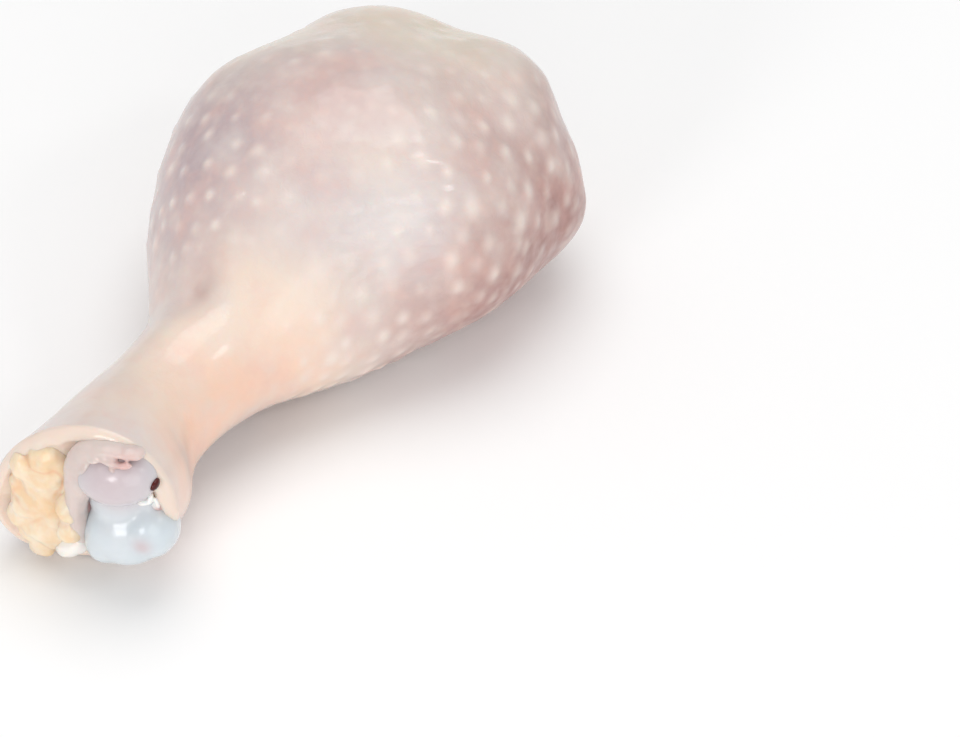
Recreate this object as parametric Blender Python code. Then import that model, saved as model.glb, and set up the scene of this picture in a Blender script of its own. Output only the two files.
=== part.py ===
"""A raw chicken drumstick, skin on, lying on its side as it does on a tray.

The leg lies along Y with the cut ankle at -Y and the thick end at +Y. -X is the calf side, +X the shin side,
and Z = 0 is what it lies on. All sizes below are millimetres, and the meshes are metres.

Four solids: the skin with the meat under it, the shin bone with its gristle-capped knuckle, the fat beside
the knuckle, and the tendon sheath between the two. Touching solids keep the gap named GAP.
"""

import math
import random

import bmesh
import bpy
import numpy as np
from mathutils import Matrix, Vector

MM = 0.001
GAP = 0.35
RNG_SEED = 7

# The loft of the leg: y, then the left and right edge in x, then the underside and the top in z.
STATIONS = np.array(
    [
        (-50.0, -11.5, 17.8, 0.6, 29.6),  # cut rim at the ankle
        (-40.0, -11.0, 14.4, 0.2, 27.2),  # ankle
        (-28.0, -11.2, 8.4, 3.0, 23.6),  # narrowest, above the ankle
        (-14.0, -12.9, 9.4, 3.5, 25.8),  # where the calf begins
        (3.0, -26.6, 17.6, -1.2, 36.8),  # swell of the calf
        (23.0, -33.2, 27.2, -2.0, 45.2),  # belly, the widest place
        (41.0, -31.2, 26.8, -2.0, 42.4),  # shoulder, where the end rounds off
    ]
)
END_Y = 59.0  # thick end
POLE_X, POLE_Z = -2.0, 15.0  # where the tucked skin meets, low on the thick end
END_POWER = 0.8  # under 1 is blunter than an ellipsoid
SAG = 0.44  # height of the widest line, as a share of the thickness
LOFT_SHARE = 0.74  # share of the leg's skin length that is loft and not rounded end
FLAT_BLEND = 0.8  # how softly the underside meets its flat rest
ORIGIN = (2.97, -1.88, 0.0)  # moves the middle of the leg's box onto the Z axis

# The ankle is cut on a slant: its left edge reaches further out than its right.
CUT_SLOPE = 0.28
CUT_FADE = 20.0  # length over which the slant dies out up the leg
CUT_TILT = 0.30  # rise of the rim from its calf side to its shin side
BARE_ANGLE, BARE_SPREAD, BARE_DEPTH = -78.0, 62.0, 3.1  # where the skin has drawn back under the knuckle
FOLDS = ((42.0, 30.0, 0.6), (105.0, 42.0, 0.55))  # where the lip is folded wide: angle, spread, share
LIP = ((0.6, 0.7), (1.4, 0.9), (2.2, 0.3), (5.0, -1.2))  # inset and outward step of each ring inside the rim

# The lattice of the skin's mesh: every other vertex is a feather follicle, as on a draughtboard.
AROUND = 56
RINGS = 32
FOLLICLE_HEIGHT = 0.4
BUMPS_FROM, BUMPS_FULL = -24.0, 0.0  # y where the follicles begin to show, and where they stand out fully
PLEATS, PLEAT_DEPTH, PLEAT_REACH = 9, 1.1, 13.0  # folds gathered round the pole of the thick end
PLEAT_DRIFT = 1.3  # unevenness of their spacing, in radians

SKIN_COLOUR = (0.80, 0.62, 0.55)
BONE_COLOUR = (0.74, 0.75, 0.78)

# Lobes of the knuckle, in the frame of the cut: centre across, up and out, then radii, then roll in degrees.
KNUCKLE_LOBES = (
    ((6.8, -2.8, -0.2), (6.7, 5.6, 5.4), 8.0),  # lower condyle
    ((4.3, -4.6, -0.2), (3.7, 4.3, 5.0), 0.0),  # its corner on the calf side
    ((11.1, -1.0, -0.5), (4.4, 4.9, 5.0), 0.0),  # its bulge on the shin side
    ((6.8, 9.0, -0.2), (7.0, 4.8, 5.4), 17.0),  # upper condyle
    ((6.0, 3.0, -1.6), (5.4, 5.0, 4.9), 0.0),  # saddle between them
    ((11.0, 5.0, 0.4), (1.4, 0.9, 1.2), 25.0),  # torn ligament on the shin side
    ((4.6, 1.6, -8.0), (4.8, 6.2, 8.0), 0.0),  # end of the shaft
)
KNUCKLE_VOXEL, KNUCKLE_PASSES = 1.7, 3  # size of its facets, and how often they are softened
SHAFT_SIDES = 10
SHAFT = (  # y, x and z of the shaft's middle, and its radius
    (-46.0, 5.6, 15.4, 4.2),
    (-38.0, 2.4, 14.6, 4.0),
    (-28.0, -0.8, 14.0, 3.8),
    (-10.0, -0.8, 15.4, 3.7),
    (14.0, -2.0, 18.5, 4.1),
    (30.0, -2.0, 20.0, 5.6),
    (42.0, -2.0, 20.5, 8.6),
    (47.0, -2.0, 20.5, 8.0),
    (49.5, -2.0, 20.5, 5.0),
)

# Beds of the fat, in the frame of the cut, and the lumps on them.
FAT_BEDS = (
    ((-5.2, 5.8, -0.5), (4.5, 5.4, 3.2)),
    ((-6.9, -0.6, -1.0), (5.0, 6.2, 3.8)),
    ((-6.4, -5.6, -0.8), (5.2, 5.2, 3.6)),
)
FAT_MIDDLE, FAT_HALF = (-6.4, -1.0, 1.4), (4.6, 8.8)  # middle of the field of lumps, and its half size
FAT_LUMPS, FAT_LUMP_RADII = 13, (1.8, 2.9)
FAT_FALL, FAT_UNEVEN = 1.1, 0.5  # how much lower the outermost lumps lie, and the spread of their height
GOLDEN_TURN = 2.4  # radians from one lump to the next, which spreads them evenly
FAT_VOXEL, FAT_PASSES = 1.4, 2

# Course of the tendon sheath, in the frame of the cut, with its radii on the way.
SHEATH = (
    ((0.3, -4.4, 1.0), (1.3, 1.8, 1.8)),
    ((0.2, -0.8, 2.0), (1.5, 2.2, 2.2)),
    ((0.2, 3.6, 1.9), (1.7, 2.6, 2.4)),
    ((0.8, 7.6, 1.6), (2.7, 2.6, 2.8)),
    ((1.7, 11.4, 1.5), (3.2, 2.4, 2.7)),
    ((4.2, 13.6, 1.6), (2.9, 2.2, 2.5)),
    ((7.2, 14.4, 1.5), (2.4, 1.9, 2.2)),
    ((9.6, 15.2, 1.2), (1.5, 1.4, 1.7)),
)
SHEATH_STEPS = 24
SHEATH_STUB = ((-1.8, -8.1, 0.2), (3.2, 2.0, 2.7), 28.0)
SHEATH_VOXEL, SHEATH_PASSES = 1.25, 2


def smooth_step(x, low, high):
    """0 below low, 1 above high, and a smooth slope between them."""
    t = np.clip((x - low) / (high - low), 0.0, 1.0)
    return t * t * (3.0 - 2.0 * t)


def through(xs, ys, x):
    """A smooth curve through the points (xs, ys), read at x."""
    step = np.diff(xs)
    slope = np.diff(ys) / step
    tangent = np.empty_like(ys)
    tangent[1:-1] = (slope[:-1] * step[1:] + slope[1:] * step[:-1]) / (step[1:] + step[:-1])
    tangent[0], tangent[-1] = slope[0], 0.6 * slope[-1]
    i = np.clip(np.searchsorted(xs, x) - 1, 0, len(xs) - 2)
    t = (x - xs[i]) / step[i]
    return (
        (2 * t**3 - 3 * t**2 + 1) * ys[i]
        + (t**3 - 2 * t**2 + t) * step[i] * tangent[i]
        + (3 * t**2 - 2 * t**3) * ys[i + 1]
        + (t**3 - t**2) * step[i] * tangent[i + 1]
    )


def leg_form(around, along):
    """The plain form at an angle around (0 on the shin side, then the top) and a share along the leg."""
    start, shoulder = STATIONS[0, 0], STATIONS[-1, 0]
    y = np.minimum(start + (shoulder - start) * along / LOFT_SHARE, shoulder)
    left, right, bottom, top = (through(STATIONS[:, 0], STATIONS[:, c], y) for c in (1, 2, 3, 4))
    turn = 0.5 * math.pi * np.clip((along - LOFT_SHARE) / (1.0 - LOFT_SHARE), 0.0, 1.0)
    shrink, reach = np.cos(turn) ** END_POWER, np.sin(turn)
    middle_x = (left + right) / 2 * (1 - reach**2) + POLE_X * reach**2
    middle_z = (bottom + SAG * (top - bottom)) * (1 - reach**2) + POLE_Z * reach**2
    up = np.where(np.sin(around) > 0, 1.0 - SAG, SAG)
    x = middle_x + (right - left) / 2 * shrink * np.cos(around)
    z = middle_z + (top - bottom) * up * shrink * np.sin(around)
    near_cut = 1.0 - smooth_step(y, start, start + CUT_FADE)
    off = np.degrees(np.angle(np.exp(1j * (around - math.radians(BARE_ANGLE)))))
    drawn_back = BARE_DEPTH * np.exp(-((off / BARE_SPREAD) ** 2))
    y_cut = near_cut * (CUT_SLOPE * (x - middle_x) + drawn_back)
    return np.stack([x, y + (END_Y - shoulder) * reach + y_cut, z + near_cut * CUT_TILT * (x - middle_x)], -1)


def normals_of(form, around, along):
    """Outward unit normals of a form, from its slopes round and along the leg."""
    d = 1e-3
    round_slope = form(around + d, along) - form(around - d, along)
    long_slope = form(around, np.minimum(along + d, 1.0)) - form(around, np.maximum(along - d, 0.0))
    n = np.cross(long_slope, round_slope)
    return n / np.maximum(np.linalg.norm(n, axis=-1, keepdims=True), 1e-12)


# Broad swells and hollows of the flesh: share along, angle in degrees, radius, height.
SWELLS = (
    (0.870, 58.0, 10.0, 2.3),  # corner where the thigh end was folded over
    (0.800, 90.0, 6.5, -1.8),  # dip beside it
    (0.790, 122.0, 9.0, 0.3),  # pad of fat at the top of the thick end
    (0.845, 36.0, 6.0, -0.7),  # flat of the thick end below the corner
    (0.800, 355.0, 5.0, 0.6),  # lower corner of the thick end
    (0.560, 148.0, 9.0, 0.9),  # calf, high on the left
    (0.300, 104.0, 5.0, -1.3),  # hollow between the calf and the shin
    (0.330, 172.0, 6.0, 0.8),  # where the calf starts abruptly
    (0.560, 215.0, 14.0, 0.9),  # calf, low on the left
    (0.470, 40.0, 9.0, -0.5),  # dents along the shin
    (0.560, 322.0, 12.0, -0.7),
    (0.900, 200.0, 9.0, -0.9),  # folds of the tucked skin
    (0.880, 290.0, 8.0, 0.8),
)


def swell_heights(points):
    heights = np.zeros(points.shape[:-1])
    for along, degrees, radius, height in SWELLS:
        centre = leg_form(np.array(math.radians(degrees)), np.array(along))
        distance = np.linalg.norm(points - centre, axis=-1)
        heights += height * np.exp(-((distance / radius) ** 2))
    return heights


def rest_flat(z):
    """Presses what would sink below the table flat onto it."""
    eased = (z + FLAT_BLEND) ** 2 / (4 * FLAT_BLEND)
    return np.where(z < -FLAT_BLEND, 0.0, np.where(z < FLAT_BLEND, eased, z))


def skin_points(around, along, relief):
    """The finished skin: the form with its swells, pleats and the given relief, resting flat."""
    points = leg_form(around, along)
    normals = normals_of(leg_form, around, along)
    pole = leg_form(np.array(0.0), np.array(1.0))
    near_pole = 1.0 - smooth_step(np.linalg.norm(points - pole, axis=-1), 0.15 * PLEAT_REACH, PLEAT_REACH)
    wave = np.cos(PLEATS * around + PLEAT_DRIFT * np.sin(2 * around))
    pleats = -PLEAT_DEPTH * near_pole * (0.5 + 0.5 * wave)
    height = swell_heights(points) + pleats + relief * (1.0 - near_pole)
    points = points + normals * height[..., None]
    points[..., 2] = rest_flat(points[..., 2])
    return points


def bump_strength(points):
    """How much the follicles stand out: not on the stretched skin of the ankle, fully past the calf."""
    return smooth_step(points[..., 1], BUMPS_FROM, BUMPS_FULL)


def new_object(name, points, faces, colour, roughness):
    """A mesh object from points in millimetres, with its own material, smooth shaded."""
    mesh = bpy.data.meshes.new(name)
    mesh.from_pydata([Vector(p) * MM for p in points], [], faces)
    mesh.validate()
    thing = bpy.data.objects.new(name, mesh)
    bpy.context.scene.collection.objects.link(thing)
    finish(thing, colour, roughness)
    return thing


def finish(thing, colour, roughness):
    material = bpy.data.materials.new(thing.name)
    material.use_nodes = True
    shader = material.node_tree.nodes["Principled BSDF"]
    shader.inputs["Base Color"].default_value = (*colour, 1.0)
    shader.inputs["Roughness"].default_value = roughness
    shader.inputs["Metallic"].default_value = 0.0
    thing.data.materials.clear()
    thing.data.materials.append(material)
    thing.data.shade_smooth()


def ankle_matrix():
    """The frame of the cut: X across it to the shin side, Y up, and Z straight out of it."""
    _, left, right, bottom, top = STATIONS[0]
    across = Vector((1.0, CUT_SLOPE, 0.0)).normalized()
    out = Vector((CUT_SLOPE, -1.0, 0.0)).normalized()
    frame = Matrix((across, (0.0, 0.0, 1.0), out)).transposed().to_4x4()
    frame.translation = ((left + right) / 2, STATIONS[0, 0], bottom + SAG * (top - bottom))
    return frame


def make_leg():
    """Skin and meat: one closed skin on the follicle lattice, with a lip round the cut at the ankle."""
    points, faces = [], []
    column = np.arange(AROUND)
    around = 2 * math.pi * column / AROUND
    for ring in range(RINGS):
        share = np.full(AROUND, ring / RINGS)
        follicle = (column + ring) % 2 == 0
        relief = FOLLICLE_HEIGHT * follicle * bump_strength(leg_form(around, share))
        points.extend(skin_points(around, share, relief))
    for ring in range(RINGS - 1):
        low, high = ring * AROUND, (ring + 1) * AROUND
        for i in range(AROUND):
            j = (i + 1) % AROUND
            if (i + ring) % 2 == 0:
                faces += [(low + j, low + i, high + i), (high + j, low + j, high + i)]
            else:
                faces += [(high + j, low + i, high + i), (low + j, low + i, high + j)]
    last = (RINGS - 1) * AROUND
    pole = len(points)
    points.append(skin_points(np.array([0.0]), np.array([1.0]), np.zeros(1))[0])
    faces += [(last + (i + 1) % AROUND, last + i, pole) for i in range(AROUND)]
    add_lip(points, faces)
    return new_object("skin_and_meat", points, faces, SKIN_COLOUR, 0.38)


def add_lip(points, faces):
    """Turns the skin in at the rim and closes it with the cut that the knuckle, fat and tendon lie in."""
    frame = np.array(ankle_matrix())
    centre, out = frame[:3, 3], frame[:3, 2]
    rim = np.array(points[:AROUND])
    radius = np.linalg.norm(rim - centre, axis=1, keepdims=True)
    degrees = np.degrees(np.arctan2(rim[:, 2:] - centre[2], (rim - centre) @ frame[:3, :1]))
    fold = sum(width * np.exp(-(((degrees - angle) / spread) ** 2)) for angle, spread, width in FOLDS)
    previous = 0
    for inset, step in LIP:
        start = len(points)
        inward = 1.0 - inset * (1.0 + fold) / radius
        points.extend(centre + (rim - centre) * inward + out * (step + 0.5 * fold))
        for i in range(AROUND):
            j = (i + 1) % AROUND
            faces += [(previous + i, previous + j, start + i), (start + i, previous + j, start + j)]
        previous = start
    floor = len(points)
    points.append(centre + out * LIP[-1][1])
    faces += [(previous + i, previous + (i + 1) % AROUND, floor) for i in range(AROUND)]


def lobe(centre, radii, roll=0.0):
    """An ellipsoid in the frame of the cut: centre and radii across, up and out, and roll in its plane."""
    turn = Matrix.Rotation(math.radians(roll), 4, "Z")
    return ankle_matrix() @ Matrix.Translation(centre) @ turn @ Matrix.Diagonal((*radii, 1.0))


def sphere_mesh(places):
    """One mesh of unit spheres, each put in place by its matrix."""
    shape = bmesh.new()
    for place in places:
        matrix = Matrix.Scale(MM, 4) @ place
        bmesh.ops.create_uvsphere(shape, u_segments=20, v_segments=10, radius=1.0, matrix=matrix)
    mesh = bpy.data.meshes.new("lobes")
    shape.to_mesh(mesh)
    shape.free()
    return mesh


def fused(name, places, voxel, passes):
    """Lobes melted into one closed skin, with soft fillets where they meet."""
    thing = bpy.data.objects.new(name, sphere_mesh(places))
    bpy.context.scene.collection.objects.link(thing)
    remesh = thing.modifiers.new("Melt", "REMESH")
    remesh.mode = "VOXEL"
    remesh.voxel_size = voxel * MM
    soften = thing.modifiers.new("Soften", "SMOOTH")
    soften.factor = 0.5
    soften.iterations = passes
    return applied(thing)


def applied(thing):
    """Replaces the object's mesh by what its modifiers make of it."""
    bpy.context.view_layer.update()
    graph = bpy.context.evaluated_depsgraph_get()
    mesh = bpy.data.meshes.new_from_object(thing.evaluated_get(graph))
    thing.modifiers.clear()
    thing.data = mesh
    return thing


def swollen(thing):
    """A cutter: the object's own shape, larger by the gap all over."""
    mesh = thing.data.copy()
    normals = [vertex.normal.copy() for vertex in mesh.vertices]
    for vertex, normal in zip(mesh.vertices, normals):
        vertex.co += normal * GAP * MM
    cutter = bpy.data.objects.new(thing.name + "_clearance", mesh)
    bpy.context.scene.collection.objects.link(cutter)
    return cutter


def combine(thing, other, operation):
    step = thing.modifiers.new(operation.title() + " " + other.name, "BOOLEAN")
    step.operation = operation
    step.solver = "EXACT"
    step.object = other


def largest_shell(thing):
    """Keeps the body and drops the scraps and sealed bubbles that cuts leave."""
    shape = bmesh.new()
    shape.from_mesh(thing.data)
    waiting, shells = set(shape.faces), []
    while waiting:
        reached = [waiting.pop()]
        for face in reached:
            beside = {near for edge in face.edges for near in edge.link_faces} & waiting
            waiting -= beside
            reached.extend(beside)
        shells.append(reached)
    scraps = [face for shell in sorted(shells, key=len)[:-1] for face in shell]
    bmesh.ops.delete(shape, geom=scraps, context="FACES")
    shape.to_mesh(thing.data)
    shape.free()


def cleared(thing, neighbours):
    """Cuts a gap round each neighbour out of the object."""
    cutters = [swollen(each) for each in neighbours]
    for cutter in cutters:
        combine(thing, cutter, "DIFFERENCE")
    applied(thing)
    for cutter in cutters:
        bpy.data.objects.remove(cutter)
    largest_shell(thing)


def make_shaft():
    """The bone's shaft, from inside the knuckle along the leg to a flared head short of the thick end."""
    points, faces = [], []
    for y, x, z, radius in SHAFT:
        for i in range(SHAFT_SIDES):
            angle = 2 * math.pi * i / SHAFT_SIDES
            points.append((x + radius * math.cos(angle), y, z + radius * math.sin(angle)))
    for low in range(0, len(points) - SHAFT_SIDES, SHAFT_SIDES):
        for i in range(SHAFT_SIDES):
            j = (i + 1) % SHAFT_SIDES
            faces.append((low + j, low + i, low + SHAFT_SIDES + i, low + SHAFT_SIDES + j))
    faces.append(tuple(range(SHAFT_SIDES)))
    faces.append(tuple(reversed(range(len(points) - SHAFT_SIDES, len(points)))))
    return new_object("shaft", points, faces, BONE_COLOUR, 0.5)


def make_bone():
    """The shin bone: two gristle-capped condyles with a groove between, on a shaft up in the meat."""
    bone = fused("shin_bone", [lobe(*each) for each in KNUCKLE_LOBES], KNUCKLE_VOXEL, KNUCKLE_PASSES)
    shaft = make_shaft()
    combine(bone, shaft, "UNION")
    applied(bone)
    bpy.data.objects.remove(shaft)
    finish(bone, BONE_COLOUR, 0.22)
    return bone


def make_fat():
    """Soft yellow fat on the calf side of the cut: beds with lumps of uneven size pressed onto them."""
    draw = random.Random(RNG_SEED)
    lobes = [lobe(*bed) for bed in FAT_BEDS]
    x, z, out = FAT_MIDDLE
    for i in range(FAT_LUMPS):
        angle = GOLDEN_TURN * i
        reach = math.sqrt((i + 0.5) / FAT_LUMPS)
        radius = draw.uniform(*FAT_LUMP_RADII)
        side = (FAT_HALF[0] * reach * math.cos(angle), FAT_HALF[1] * reach * math.sin(angle))
        rise = out - FAT_FALL * reach**2 + draw.uniform(-FAT_UNEVEN, FAT_UNEVEN)
        lump = (radius, radius * draw.uniform(1.0, 1.4), 0.85 * radius)
        lobes.append(lobe((x + side[0], z + side[1], rise), lump))
    fat = fused("ankle_fat", lobes, FAT_VOXEL, FAT_PASSES)
    finish(fat, (0.86, 0.66, 0.42), 0.35)
    return fat


def make_sheath():
    """The tendon's pale sheath: a band beside the knuckle, folded over its top, with a stub below."""
    lobes = []
    path = np.array([point for point, _ in SHEATH])
    half = np.array([radii for _, radii in SHEATH])
    station = np.arange(len(SHEATH), dtype=float)
    for s in np.linspace(0.0, station[-1], SHEATH_STEPS):
        centre = [float(through(station, path[:, c], s)) for c in range(3)]
        radii = [float(through(station, half[:, c], s)) for c in range(3)]
        lobes.append(lobe(centre, radii))
    lobes.append(lobe(*SHEATH_STUB))
    sheath = fused("tendon_sheath", lobes, SHEATH_VOXEL, SHEATH_PASSES)
    finish(sheath, (0.88, 0.74, 0.68), 0.3)
    return sheath


def main():
    for thing in list(bpy.data.objects):
        bpy.data.objects.remove(thing)
    bone, sheath, fat, leg = make_bone(), make_sheath(), make_fat(), make_leg()
    cleared(leg, [bone, sheath, fat])
    cleared(fat, [bone, sheath])
    cleared(sheath, [bone])
    for each in (bone, sheath, fat, leg):
        each.location = Vector(ORIGIN) * MM


main()
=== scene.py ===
"""A raw chicken drumstick on a pale studio floor, laid out as an add-on with one operator for each piece.

Sizes are millimetres unless a comment says otherwise. Meshes are in metres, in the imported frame.
"""

import math
import random

import bmesh
import bpy
import numpy as np
from bpy.props import FloatProperty, FloatVectorProperty, PointerProperty
from mathutils import Matrix, Vector, noise


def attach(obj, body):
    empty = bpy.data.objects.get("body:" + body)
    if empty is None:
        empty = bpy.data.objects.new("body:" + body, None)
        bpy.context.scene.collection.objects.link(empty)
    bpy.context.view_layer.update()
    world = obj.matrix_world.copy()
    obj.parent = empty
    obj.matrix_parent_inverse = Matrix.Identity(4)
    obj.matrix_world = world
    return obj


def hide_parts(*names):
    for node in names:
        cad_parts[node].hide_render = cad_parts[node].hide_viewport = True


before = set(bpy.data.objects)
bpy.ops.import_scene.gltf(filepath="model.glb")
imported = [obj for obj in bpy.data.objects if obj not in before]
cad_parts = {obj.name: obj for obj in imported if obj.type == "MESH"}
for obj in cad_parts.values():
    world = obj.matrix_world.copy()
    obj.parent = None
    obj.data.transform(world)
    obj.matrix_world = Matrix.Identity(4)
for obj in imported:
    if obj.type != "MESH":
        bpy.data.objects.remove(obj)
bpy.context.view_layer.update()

bl_info = {
    "name": "Raw chicken drumstick",
    "version": (1, 0, 0),
    "blender": (4, 5, 0),
    "location": "3D View > Sidebar > Drumstick",
    "description": "Builds a raw chicken drumstick, skin on, and a studio floor for it",
    "category": "Add Mesh",
}

MM = 0.001
RNG_SEED = 7
SEED_STEPS = (17.3, 5.1, 11.7)  # way from one seed's field of ripples to the next

# The loft of the leg: y, then the left and right edge in x, then the underside and the top in z.
STATIONS = np.array(
    [
        (-50.0, -11.5, 17.8, 0.6, 29.6),  # cut rim at the ankle
        (-40.0, -11.0, 14.4, 0.2, 27.2),  # ankle
        (-28.0, -11.2, 8.4, 3.0, 23.6),  # narrowest, above the ankle
        (-14.0, -12.9, 9.4, 3.5, 25.8),  # where the calf begins
        (3.0, -26.6, 17.6, -1.2, 36.8),  # swell of the calf
        (23.0, -33.2, 27.2, -2.0, 45.2),  # belly, the widest place
        (41.0, -31.2, 26.8, -2.0, 42.4),  # shoulder, where the end rounds off
    ]
)
END_Y = 59.0  # thick end
POLE_X, POLE_Z = -2.0, 15.0  # where the tucked skin meets, low on the thick end
END_POWER = 0.8  # under 1 is blunter than an ellipsoid
SAG = 0.44  # height of the widest line, as a share of the thickness
LOFT_SHARE = 0.74  # share of the leg's skin length that is loft and not rounded end
FLAT_BLEND = 0.8  # how softly the underside meets its flat rest
ORIGIN = (2.97, -1.88, 0.0)  # moves the middle of the leg's box onto the Z axis
CURVE_END = 0.6  # how much of its last slope a curve through the stations keeps
SLOPE_STEP = 0.001  # step in radians and in share along, for the slopes of the form

# The ankle is cut on a slant: its left edge reaches further out than its right.
CUT_SLOPE = 0.28
CUT_FADE = 20.0  # length over which the slant dies out up the leg
CUT_TILT = 0.30  # rise of the rim from its calf side to its shin side
BARE_ANGLE, BARE_SPREAD, BARE_DEPTH = -78.0, 62.0, 3.1  # where the skin has drawn back under the knuckle
FOLDS = ((42.0, 30.0, 0.6), (105.0, 42.0, 0.55))  # where the lip is folded wide: angle, spread, share
LIP = ((0.0, 0.0), (0.6, 0.7), (1.4, 0.9), (2.2, 0.3), (5.0, -1.2))  # inset and outward step, rim first
LIP_RINGS = 14
RAGGED_HEIGHT, RAGGED_SIZE = 0.35, 2.6  # ripples of the cut skin
RAGGED_INSET = 0.5  # share of the ripples that goes into the inset
FOLD_RISE = 0.5  # how far a fold stands out, in millimetres for each share of width
RIM_SHADE = 0.5  # how much of the cut's colour its outer rim has

# Feather follicles stand on a draughtboard lattice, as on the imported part.
LATTICE_AROUND, LATTICE_RINGS = 56, 32
STRAY_AROUND, STRAY_ALONG = 0.35, 0.28  # how far they stray from it, in steps of the lattice
FOLLICLE_SIZES, FOLLICLE_HEIGHTS = (0.75, 1.25), (0.5, 1.3)  # ranges, as shares of the settings
FOLLICLE_PLUGS = (0.35, 1.0)  # range of the plugs' strength
FOLLICLE_REACH = 3.2  # radii within which a follicle is worked out
FOLLICLE_LEAST = 0.02  # strength below which it is left out
NUDGE_ALONG, NUDGE_AROUND = 0.01, 0.05  # steps that give the ways along and round the leg at a follicle
BUMPS_FROM, BUMPS_FULL = -24.0, 0.0  # y where the follicles begin to show, and where they stand out fully
PLEATS, PLEAT_DEPTH, PLEAT_REACH = 9, 1.1, 13.0  # folds gathered round the pole of the thick end
PLEAT_DRIFT = 1.3  # unevenness of their spacing, in radians
PLEAT_FULL = 0.15  # share of their reach within which they are deepest

# Broad swells and hollows of the flesh: share along, angle in degrees, radius, height.
SWELLS = (
    (0.870, 58.0, 10.0, 2.3),  # corner where the thigh end was folded over
    (0.800, 90.0, 6.5, -1.8),  # dip beside it
    (0.790, 122.0, 9.0, 0.3),  # pad of fat at the top of the thick end
    (0.845, 36.0, 6.0, -0.7),  # flat of the thick end below the corner
    (0.800, 355.0, 5.0, 0.6),  # lower corner of the thick end
    (0.560, 148.0, 9.0, 0.9),  # calf, high on the left
    (0.300, 104.0, 5.0, -1.3),  # hollow between the calf and the shin
    (0.330, 172.0, 6.0, 0.8),  # where the calf starts abruptly
    (0.560, 215.0, 14.0, 0.9),  # calf, low on the left
    (0.470, 40.0, 9.0, -0.5),  # dents along the shin
    (0.560, 322.0, 12.0, -0.7),
    (0.900, 200.0, 9.0, -0.9),  # folds of the tucked skin
    (0.880, 290.0, 8.0, 0.8),
)

# Tones of what lies under the skin, and painted shade, each in a layer of its own, the later over the
# earlier.
SKIN_TONES = {
    "blush": "#D3A9A0",
    "dusk": "#BDA9AC",
    "fat": "#E2D6C4",
    "cream": "#ECD9C9",
    "peach": "#FFD0B6",
    "milk": "#DFDADA",
    # painted shade for the leg's low sides and hollows
    "painted_shade": "#A0706A",
}
# Patches of colour in the skin, and of painted shade: layer, share along, angle in degrees, radius,
# strength.
PATCHES = (
    ("blush", 0.56, 92.0, 9.0, 0.45),
    ("blush", 0.46, 75.0, 6.0, 0.4),
    ("blush", 0.66, 60.0, 14.0, 0.2),
    ("blush", 0.45, 352.0, 10.0, 0.3),
    ("blush", 0.55, 8.0, 12.0, 0.3),
    ("blush", 0.68, 0.0, 13.0, 0.6),
    ("blush", 0.33, 110.0, 5.0, 0.3),
    # Painted shade low on the shin side of the thick part, and in the thick end's corner.
    ("painted_shade", 0.66, 346.0, 15.0, 0.85),
    ("painted_shade", 0.56, 335.0, 12.0, 0.5),
    ("painted_shade", 0.78, 8.0, 13.0, 0.5),
    ("painted_shade", 0.68, 340.0, 9.0, 0.3),
    ("painted_shade", 0.84, 45.0, 9.0, 0.3),
    ("blush", 0.585, 146.0, 4.0, 0.7),
    ("blush", 0.610, 142.0, 3.5, 0.6),
    ("dusk", 0.45, 58.0, 5.0, 0.35),
    ("cream", 0.53, 62.0, 4.0, 0.5),
    # Painted shade in the hollow between the calf and the shin.
    ("painted_shade", 0.305, 101.0, 2.4, 0.35),
    ("dusk", 0.325, 97.0, 3.0, 0.5),
    # Painted shade low on the calf side.
    ("painted_shade", 0.65, 240.0, 30.0, 0.3),
    ("dusk", 0.52, 135.0, 13.0, 0.7),
    ("dusk", 0.44, 118.0, 10.0, 0.5),
    ("dusk", 0.40, 150.0, 12.0, 0.5),
    ("dusk", 0.62, 95.0, 10.0, 0.3),
    ("fat", 0.78, 112.0, 15.0, 0.8),
    ("fat", 0.66, 138.0, 9.0, 0.8),
    ("fat", 0.82, 80.0, 12.0, 0.6),
    ("peach", 0.15, 12.0, 7.0, 0.7),
    ("peach", 0.22, 11.0, 7.5, 0.7),
    ("peach", 0.33, 4.0, 8.0, 0.55),
    ("peach", 0.05, 5.0, 8.0, 0.55),
    ("cream", 0.20, 60.0, 10.0, 0.8),
    ("cream", 0.28, 40.0, 11.0, 1.0),
    ("cream", 0.36, 45.0, 10.0, 0.8),
    ("cream", 0.08, 75.0, 12.0, 0.7),
    ("cream", 0.38, 328.0, 9.0, 0.9),
    ("milk", 0.52, 38.0, 9.0, 0.7),
    ("milk", 0.44, 60.0, 9.0, 0.4),
    ("milk", 0.02, 60.0, 5.0, 0.6),
    ("fat", 0.03, 48.0, 4.5, 0.4),
)
PATCH_UNEVEN, PATCH_RIPPLE = 0.35, 7.0  # how uneven the patches' edges are, and the size of that

# Where the follicles stand out: share along, angle in degrees, radius, strength. Elsewhere they are faint.
FAINT = 0.3
STRONG_FOLLICLES = (
    (0.63, 32.0, 20.0, 0.8),
    (0.42, 348.0, 14.0, 0.8),
    (0.42, 125.0, 15.0, 1.0),
    (0.66, 112.0, 10.0, 0.35),
    (0.48, 155.0, 12.0, 0.45),
    (0.60, 205.0, 24.0, 0.5),
    (0.62, 280.0, 24.0, 0.5),
    (0.80, 90.0, 10.0, 0.3),
)
FOLLICLE_SLANT, FOLLICLE_STRETCH = 0.6, 0.35  # they are drawn out round the shin side, at a slant

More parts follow.
